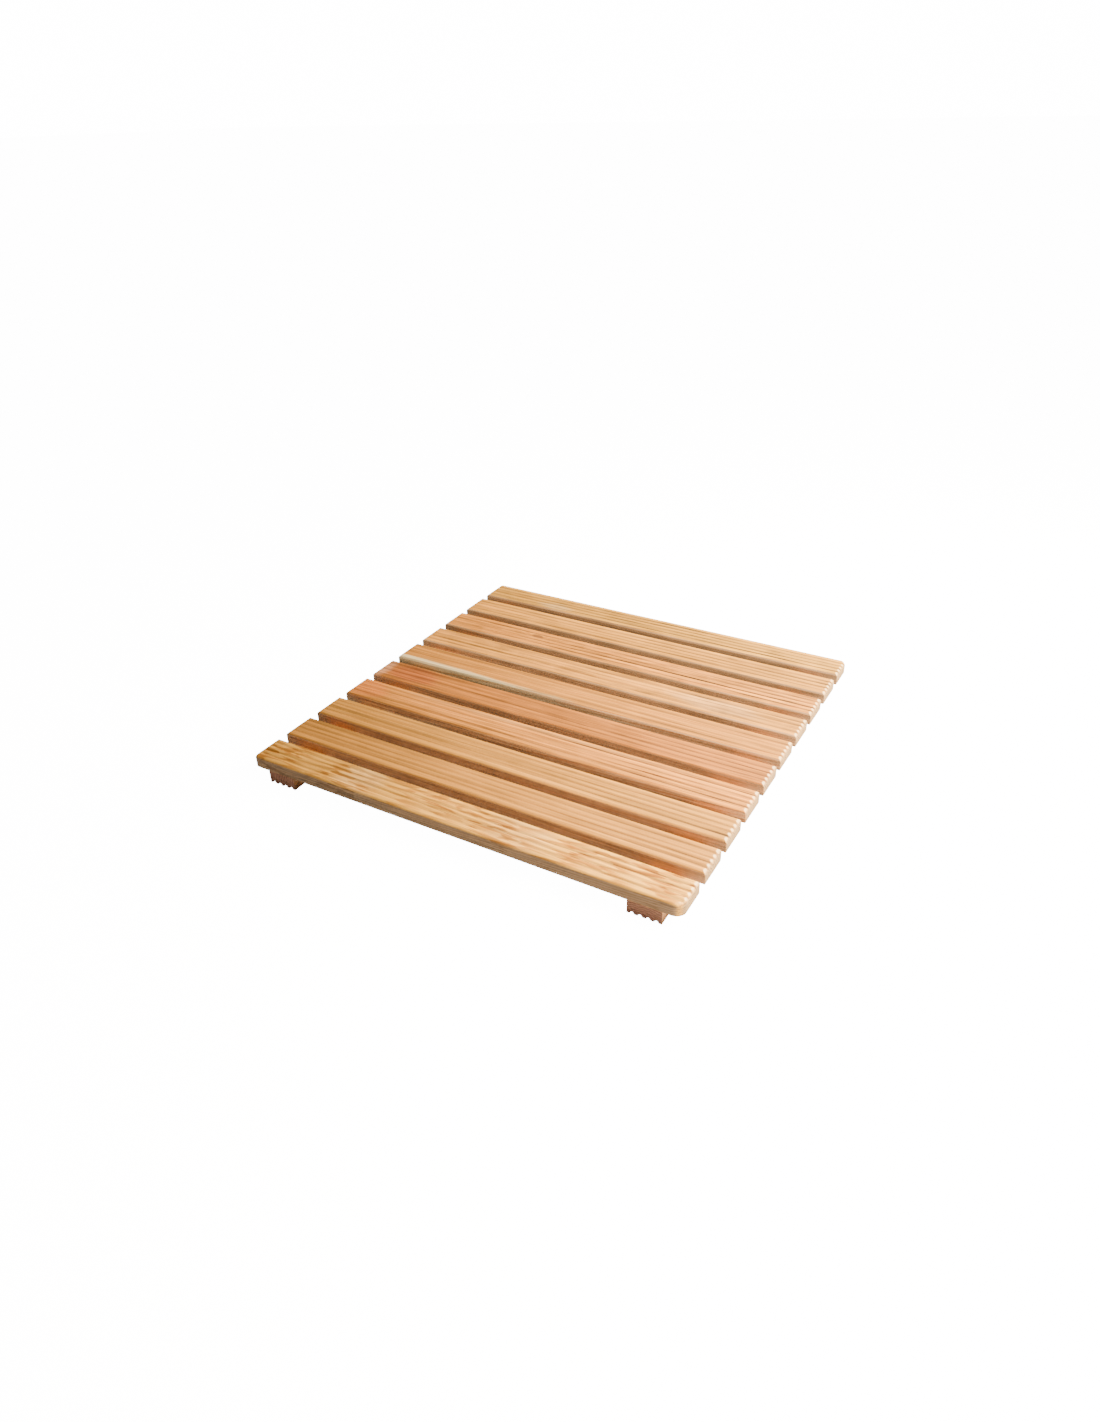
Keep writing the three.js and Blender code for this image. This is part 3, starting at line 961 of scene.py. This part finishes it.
# %% Board table
BOARD_DEFAULTS = dict(
    red=0.4, depth=(0.9, 1.0), side=1.0,
    late=(0.66, 0.50, 0.34), late_amount=0.7, end=(0.42, 0.27, 0.125), end_amount=0.9,
    pith=(0, -0.05, -0.03), lean=(0, 0.01, 0.01), spacing=0.0024, wander=0.0025,
    wander_scale=8.0, knot=(9, 0, 0), knot_size=0.02, knot_push=0.0, streak=1.0, mottle=0.4,
    groove=(-0.16, 0.42), fineness=1.0, dash=0.0, fibre=1.3, side_from=0.80,
    patches=())
BOARDS = {
    "larch_straw": dict(
        red=0.0, depth=(0.6, 1.3), side=0.8,
        pith=(0, 0.002, -0.20), lean=(0, 0.02, 0.055), spacing=0.0026, wander=0.003,
        wander_scale=7.0, late_amount=0.9, late=(0.68, 0.56, 0.36), streak=0.9, dash=1.0, fibre=1.6,
        patches=(((-0.118, 0, 0.007), (0.03, 0.03, 0.01), (0.60, 0.38, 0.18), 0.3),
                 ((0.07, 0, 0.007), (0.04, 0.03, 0.01), (0.70, 0.42, 0.20), 0.25))),
    "larch_honey": dict(
        red=0.4, depth=(0.55, 1.05), side=1.3,
        pith=(0, -0.09, -0.06), spacing=0.0034, late_amount=0.35, streak=0.9, mottle=0.35),
    "larch_tan": dict(
        red=0.3, depth=(0.6, 1.0), side=0.9,
        pith=(0, -0.07, -0.02), spacing=0.0028, late_amount=0.5, streak=1.3, groove=(-0.14, 0.50),
        patches=(((-0.22, -0.0195, 0), (0.018, 0.006, 0.01), (0.40, 0.14, 0.05), 0.25),)),
    "larch_striped": dict(
        red=0.6, depth=(0.9, 1.4), side=1.2,
        pith=(0, -0.06, -0.015), lean=(0, 0.03, 0), spacing=0.0023, late_amount=0.95,
        streak=1.8, fibre=1.8, groove=(0.06, 0.48),
        patches=(((-0.26, -0.0195, -0.012), (0.25, 0.006, 0.014), (0.50, 0.40, 0.27), 0.9),
                 ((-0.232, 0, 0.007), (0.03, 0.02, 0.01), (0.58, 0.16, 0.03), 0.5),
                 ((0.0, 0.014, 0.007), (0.20, 0.003, 0.004), (0.64, 0.38, 0.17), 0.25))),
    "larch_russet": dict(
        red=0.8, depth=(0.65, 1.0), side=0.9,
        pith=(0, -0.05, -0.02), lean=(0, 0.02, 0.01), late_amount=0.4, streak=1.5, mottle=0.6, fibre=1.8,
        late=(0.66, 0.44, 0.30),
        patches=(((-0.20, 0.0, 0.007), (0.04, 0.02, 0.012), (0.30, 0.07, 0.02), 0.55),
                 ((-0.248, 0, 0.007), (0.014, 0.03, 0.012), (0.60, 0.33, 0.20), 0.4))),
    "larch_two_tone": dict(
        red=0.5, depth=(0.8, 1.1), side=1.2, side_from=0.60,
        pith=(0, -0.05, -0.02), lean=(0, 0.02, 0.01), late_amount=0.9, streak=1.8,
        patches=(((-0.27, -0.0195, 0.004), (0.26, 0.0085, 0.016), (0.56, 0.46, 0.27), 0.95),
                 ((-0.02, -0.0215, -0.003), (0.17, 0.004, 0.012), (0.42, 0.34, 0.22), 0.7))),
    "larch_yellow": dict(
        red=0.4, depth=(1.05, 1.05), side=1.0, side_from=0.45,
        pith=(0, -0.05, -0.03), lean=(0, 0.01, 0.01), late_amount=0.45, streak=1.6, mottle=0.9, fibre=2.0,
        groove=(0.14, 0.45),
        patches=(((0.15, 0, 0.007), (0.06, 0.015, 0.01), (0.66, 0.38, 0.17), 0.4),)),
    "larch_salmon": dict(
        red=0.6, depth=(1.1, 1.2), side=0.8, side_from=0.50,
        pith=(0, -0.03, -0.04), lean=(0, 0.05, 0.03), late_amount=0.6, wander=0.005,
        wander_scale=16.0, knot=(-0.12, 0.0045, 0.007), knot_size=0.015, knot_push=0.006,
        streak=1.7, mottle=0.8, fibre=2.2, groove=(0.45, 0.65)),
    "larch_beige": dict(
        red=0.3, depth=(1.1, 0.95), side=0.8, side_from=0.50,
        pith=(0, -0.06, -0.05), lean=(0, 0.01, 0.01), late_amount=0.6, streak=1.6, mottle=0.8,
        groove=(0.42, 0.60)),
    "larch_pale": dict(
        red=0.0, depth=(0.9, 0.9), side=0.7, side_from=0.50,
        pith=(0, -0.05, -0.06), lean=(0, 0.02, 0.01), late_amount=0.7, streak=1.7, mottle=0.8,
        groove=(0.50, 0.65),
        patches=(((-0.142, -0.009, 0.007), (0.028, 0.010, 0.01), (0.58, 0.38, 0.18), 0.5),)),
    # painted light: the battens' side gain is above 1, so their long sides, which sit in shade under the
    # slats, are painted brighter
    "larch_batten": dict(
        red=0.5, depth=(1.0, 1.1), side=2.2,
        pith=(0, -0.2135, -0.05), lean=(0, 0, 0), spacing=0.0026, late_amount=0.9,
        end=(0.42, 0.20, 0.14), end_amount=0.9, groove=(0.0, 0.0)),
}
print("board finishes", len(BOARDS))

# %% Build the wood materials
def turned(tree, vector, angle):
    """A vector turned about Z, for grain that runs along Y."""
    return add_node(tree, "VectorRotate", {"Vector": vector, "Angle": angle},
                    rotation_type="Z_AXIS").outputs[0]


def board_material(slot, number, middle, turn=0.0):
    """The finish for one board. turn lays the grain along Y instead of X."""
    board = {**BOARD_DEFAULTS, **BOARDS[slot]}
    material = bpy.data.materials.new(slot)
    material.use_nodes = True
    tree = material.node_tree
    shader = tree.nodes["Principled BSDF"]
    source = add_node(tree, "TexCoord").outputs
    place = vector_maths(tree, "SUBTRACT", source["Object"], tuple(middle))
    facing = source["Normal"]
    if turn:
        place = turned(tree, place, turn)
        facing = turned(tree, facing, turn)
    x = add_node(tree, "SeparateXYZ", {0: place}).outputs[0]
    facing_x = maths(tree, "ABSOLUTE", add_node(tree, "SeparateXYZ", {0: facing}).outputs[0])
    # masks from the way a face looks: sawn end, long side for the painted side shade, and rounded rib end
    # for a painted highlight
    end_side = ramp(tree, facing_x, 0.72, 0.93)
    dip = add_node(tree, "Attribute", attribute_name="dip").outputs["Fac"]
    rim = add_node(tree, "Attribute", attribute_name="rim").outputs["Fac"]
    # painted highlight mask: rounded rib ends that face up and along the slat, away from the grooves
    rounded = maths(tree, "MULTIPLY", ramp(tree, facing_x, 0.12, 0.4), ramp(tree, facing_x, 0.92, 0.6))
    facing_up = ramp(tree, add_node(tree, "SeparateXYZ", {0: facing}).outputs[2], 0.2, 0.6)
    side_way = maths(tree, "ABSOLUTE", add_node(tree, "SeparateXYZ", {0: facing}).outputs[1])
    facing_up = maths(tree, "MULTIPLY", facing_up, ramp(tree, side_way, 0.30, 0.12))
    tip = maths(tree, "MULTIPLY", maths(tree, "MULTIPLY", rounded, facing_up), ramp(tree, dip, 0.5, 0.05))
    rings = place_group(tree, ring_group, {
        "Place": place, "Pith": board["pith"], "Lean": board["lean"], "Spacing": board["spacing"],
        "Wander": board["wander"], "Wander Scale": board["wander_scale"],
        "Knot Place": board["knot"], "Knot Size": board["knot_size"], "Knot Push": board["knot_push"],
        "Seed": number * 1.37})
    fibres = place_group(tree, fibre_group, {"Place": place, "Fineness": board["fineness"],
                                             "Seed": number * 0.83})
    # real wear on the rims, plus painted shade in the grooves and a painted highlight on the rib crests
    wear = place_group(tree, wear_group, {"Place": place, "Dip": dip, "Rim": rim})
    # partly painted light: the tone is scaled from the left end to the right by the board's depth gains,
    # which hold the board's own drift and also paint the fall of light, for most boards darker at the left
    # end and lighter at the right, near the lamp
    along = add_node(tree, "MapRange", {"Value": x, "From Min": -0.25, "From Max": 0.25}).outputs["Result"]
    depth = ramp(tree, along, 0.0, 1.0, *board["depth"])
    depth = add_node(tree, "CombineColor", {0: depth, 1: depth, 2: depth}).outputs[0]
    planed = mix(tree, 1.0, (*larch_tone(board["red"]), 1), depth, "MULTIPLY")
    # painted shade: faces that look sideways blend into the darker side tone, scaled by the board's side
    # gain; a gain above 1, as on the battens, is painted light
    side_shade = (*(channel * board["side"] for channel in SIDE_SHADE_TONE), 1)
    tone = mix(tree, ramp(tree, side_way, board["side_from"], board["side_from"] + 0.19), planed, side_shade)
    for patch_middle, reach, patch_tone, amount in board["patches"]:
        patch = place_group(tree, patch_group, {"Place": place, "Middle": patch_middle, "Reach": reach})
        tone = mix(tree, maths(tree, "MULTIPLY", patch["Mask"], amount), tone, (*patch_tone, 1))
    wood = place_group(tree, wood_group, {
        "Board Tone": tone, "Late Tint": (*board["late"], 1), "Late Amount": board["late_amount"],
        "End Tone": (*board["end"], 1), "End Amount": board["end_amount"], "End Side": end_side,
        "Late": rings["Late"], "Ring Tone": rings["Ring Tone"], "Knot": rings["Knot"],
        "Fibre": fibres["Fibre"], "Fleck": fibres["Fleck"], "Mottle": fibres["Mottle"],
        "Dash": maths(tree, "MULTIPLY", fibres["Dash"], board["dash"]),
        "Fibre Amount": board["fibre"], "Streak": fibres["Streak"],
        "Groove Shade": wear["Groove Shade"], "Crest Wear And Highlight": wear["Crest Wear And Highlight"], "Edge": wear["Edge"], "Rib End Highlight": tip,
        "Streak Amount": board["streak"], "Mottle Amount": board["mottle"],
        "Groove Amount": ramp(tree, along, 0.2, 0.9, *board["groove"])})
    relief = add_node(tree, "Bump", {"Height": wood["Height"], "Strength": 0.25, "Distance": 0.0004})
    tree.links.new(wood["Color"], shader.inputs["Base Color"])
    tree.links.new(wood["Roughness"], shader.inputs["Roughness"])
    tree.links.new(relief.outputs["Normal"], shader.inputs["Normal"])
    return material


def box_middle(node):
    low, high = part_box(node)
    return (low + high) / 2


def dress(piece, material):
    piece.data.materials.clear()
    piece.data.materials.append(material)


for number, (node, piece) in enumerate(zip(SLATS, slats), start=1):
    dress(piece, board_material(slot_of_node[node], number, box_middle(node)))
batten_material = board_material("larch_batten", 11, (0, 0, floor_z), turn=-math.pi / 2)
for piece in battens:
    dress(piece, batten_material)
print("wood materials", len(slats) + 1)

# %% [markdown]
# ## Screw steel
#
# Stainless steel, cold headed and thread rolled: grey, fairly bright, with fine turning marks
# round the axis and slight blotches. Only the heads can ever be seen, from below, but the same
# finish covers the whole screw.

# %% Screw material
def steel_material():
    material = bpy.data.materials.new("screw_steel")
    material.use_nodes = True
    tree = material.node_tree
    shader = tree.nodes["Principled BSDF"]
    place = add_node(tree, "TexCoord").outputs["Object"]
    blotch = noise_at(tree, place, 900.0, detail=3.0).outputs["Fac"]
    marks = noise_at(tree, stretched(tree, place, (600, 600, 9000)), 1.0, detail=2.0).outputs["Fac"]
    tone = mix(tree, blotch, (0.46, 0.46, 0.45, 1), (0.66, 0.66, 0.65, 1))
    tree.links.new(tone, shader.inputs["Base Color"])
    tree.links.new(ramp(tree, marks, 0.3, 0.7, 0.26, 0.42), shader.inputs["Roughness"])
    relief = add_node(tree, "Bump", {"Height": marks, "Strength": 0.15, "Distance": 0.00005})
    tree.links.new(relief.outputs["Normal"], shader.inputs["Normal"])
    shader.inputs["Metallic"].default_value = 1.0
    return material


steel = steel_material()
for piece in screws:
    dress(piece, steel)
print("screw material on", len(screws), "screws")
